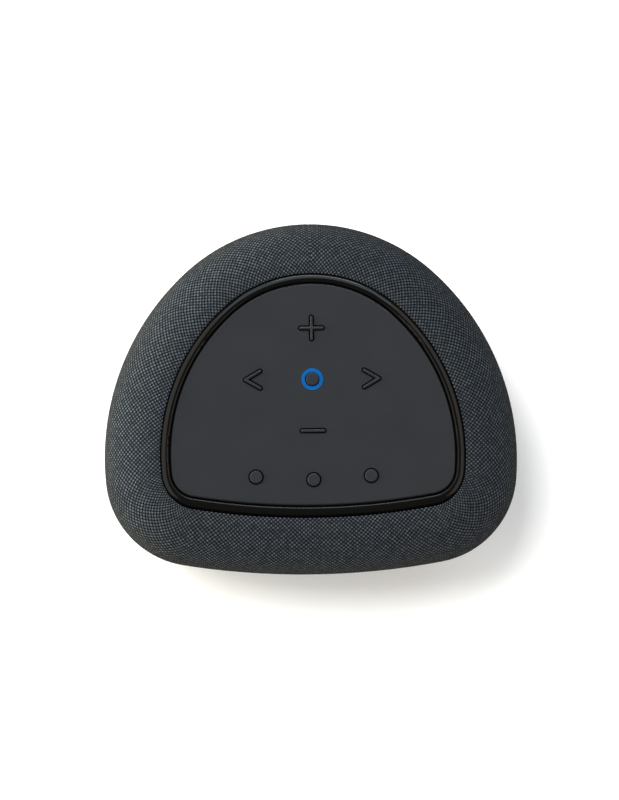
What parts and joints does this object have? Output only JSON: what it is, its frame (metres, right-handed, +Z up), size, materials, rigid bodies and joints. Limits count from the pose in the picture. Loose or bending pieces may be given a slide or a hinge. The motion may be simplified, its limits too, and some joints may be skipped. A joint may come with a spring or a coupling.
{
  "type": "smart speaker",
  "caption": "Fabric-covered tabletop speaker with a rounded-triangle plan, a control panel on top with raised keys, a sealed drive-unit box inside and sockets in its base.",
  "frame": {"origin": "on the table under the middle of the plan's bounding box, at the foot's underside", "axes": "+Z up, -Y towards the long front edge, +X to the right of a person who faces the front"},
  "size_m": [0.1518, 0.1296, 0.186],
  "materials": {
    "fabric": "plain weave of dark blue-grey yarn",
    "panel_plastic": "soft-touch matt",
    "trim_gloss": "high-gloss black",
    "light_guide": "translucent, lit blue",
    "housing_plastic": "fine-textured moulding",
    "grille_plastic": "moulded, black",
    "foot_rubber": "matt",
    "gasket_foam": "closed-cell foam",
    "circuit_board": "solder mask",
    "component_black": "moulded package",
    "switch_metal": "stamped cover",
    "screw_steel": "plated",
    "magnet_ferrite": "sintered ferrite",
    "yoke_steel": "zinc plated",
    "heat_sink_aluminium": "extruded, anodised",
    "shield_tin": "tinned",
    "spacer_brass": "turned",
    "cone_paper": "pressed fibre",
    "surround_rubber": "half roll",
    "spider_cloth": "resin-treated cloth",
    "dome_silk": "coated silk",
    "coil_copper": "enamelled wire on former",
    "contact_metal": "nickel plated",
    "cable_film": "flat flexible cable"
  },
  "bodies": {
    "housing": {"fabric_sleeve": "fabric", "grille_shell": "grille_plastic", "top_trim_ring": "trim_gloss", "top_panel": "panel_plastic", "light_ring": "light_guide", "panel_gasket": "gasket_foam", "upper_frame": "housing_plastic", "control_board": "circuit_board", "board_spacers": "spacer_brass", "tact_switches": "switch_metal", "light_ring_leds": "component_black", "microphones": "contact_metal", "panel_screws": "screw_steel", "main_board": "circuit_board", "processor_shield": "shield_tin", "heat_sink": "heat_sink_aluminium", "main_board_parts": "component_black", "ribbon_connectors": "component_black", "control_ribbon_cable": "cable_film", "wifi_antennas": "circuit_board", "enclosure_body": "housing_plastic", "enclosure_lid": "housing_plastic", "enclosure_gasket": "gasket_foam", "front_baffle": "housing_plastic", "woofer_basket": "yoke_steel", "woofer_top_plate": "yoke_steel", "woofer_magnet": "magnet_ferrite", "woofer_pole_yoke": "yoke_steel", "woofer_spider": "spider_cloth", "woofer_surround": "surround_rubber", "woofer_screws": "screw_steel", "tweeter_left_frame": "housing_plastic", "tweeter_right_frame": "housing_plastic", "tweeter_magnets": "magnet_ferrite", "radiator_frame": "housing_plastic", "radiator_surround": "surround_rubber", "base_cover": "housing_plastic", "base_screws": "screw_steel", "rubber_foot": "foot_rubber", "power_board": "circuit_board", "power_board_parts": "component_black", "socket_plate": "housing_plastic", "power_jack": "component_black", "power_jack_pin": "contact_metal", "aux_jack": "component_black"},
    "volume_up_key": {"volume_up_key": "panel_plastic"},
    "volume_down_key": {"volume_down_key": "panel_plastic"},
    "previous_key": {"previous_key": "panel_plastic"},
    "next_key": {"next_key": "panel_plastic"},
    "action_key": {"action_key": "panel_plastic"},
    "bluetooth_key": {"bluetooth_key": "panel_plastic"},
    "microphone_mute_key": {"microphone_mute_key": "panel_plastic"},
    "power_key": {"power_key": "panel_plastic"},
    "woofer_cone": {"woofer_cone": "cone_paper", "woofer_dust_cap": "cone_paper", "woofer_voice_coil": "coil_copper"},
    "radiator_cone": {"radiator_cone": "cone_paper"},
    "tweeter_left_dome": {"tweeter_left_dome": "dome_silk"},
    "tweeter_right_dome": {"tweeter_right_dome": "dome_silk"}
  },
  "joints": [
    {"name": "volume_up_press", "type": "slide", "parent": "housing", "child": "volume_up_key", "axis": [0, 0, 1], "range_m": [-0.0004, 0], "stiffness_N_per_m": 500, "springref_m": 0.0005},
    {"name": "volume_down_press", "type": "slide", "parent": "housing", "child": "volume_down_key", "axis": [0, 0, 1], "range_m": [-0.0004, 0], "stiffness_N_per_m": 500, "springref_m": 0.0005},
    {"name": "previous_press", "type": "slide", "parent": "housing", "child": "previous_key", "axis": [0, 0, 1], "range_m": [-0.0004, 0], "stiffness_N_per_m": 500, "springref_m": 0.0005},
    {"name": "next_press", "type": "slide", "parent": "housing", "child": "next_key", "axis": [0, 0, 1], "range_m": [-0.0004, 0], "stiffness_N_per_m": 500, "springref_m": 0.0005},
    {"name": "action_press", "type": "slide", "parent": "housing", "child": "action_key", "axis": [0, 0, 1], "range_m": [-0.0004, 0], "stiffness_N_per_m": 500, "springref_m": 0.0005},
    {"name": "bluetooth_press", "type": "slide", "parent": "housing", "child": "bluetooth_key", "axis": [0, 0, 1], "range_m": [-0.0004, 0], "stiffness_N_per_m": 500, "springref_m": 0.0005},
    {"name": "microphone_mute_press", "type": "slide", "parent": "housing", "child": "microphone_mute_key", "axis": [0, 0, 1], "range_m": [-0.0004, 0], "stiffness_N_per_m": 500, "springref_m": 0.0005},
    {"name": "power_press", "type": "slide", "parent": "housing", "child": "power_key", "axis": [0, 0, 1], "range_m": [-0.0004, 0], "stiffness_N_per_m": 500, "springref_m": 0.0005},
    {"name": "woofer_stroke", "type": "slide", "parent": "housing", "child": "woofer_cone", "axis": [0, -1, 0], "range_m": [-0.003, 0.003], "stiffness_N_per_m": 900},
    {"name": "radiator_stroke", "type": "slide", "parent": "housing", "child": "radiator_cone", "axis": [0, 1, 0], "range_m": [-0.0025, 0.0025], "stiffness_N_per_m": 500},
    {"name": "tweeter_left_stroke", "type": "slide", "parent": "housing", "child": "tweeter_left_dome", "axis": [0, -1, 0], "range_m": [-0.0003, 0.0003], "stiffness_N_per_m": 500},
    {"name": "tweeter_right_stroke", "type": "slide", "parent": "housing", "child": "tweeter_right_dome", "axis": [0, -1, 0], "range_m": [-0.0003, 0.0003], "stiffness_N_per_m": 500}
  ]
}
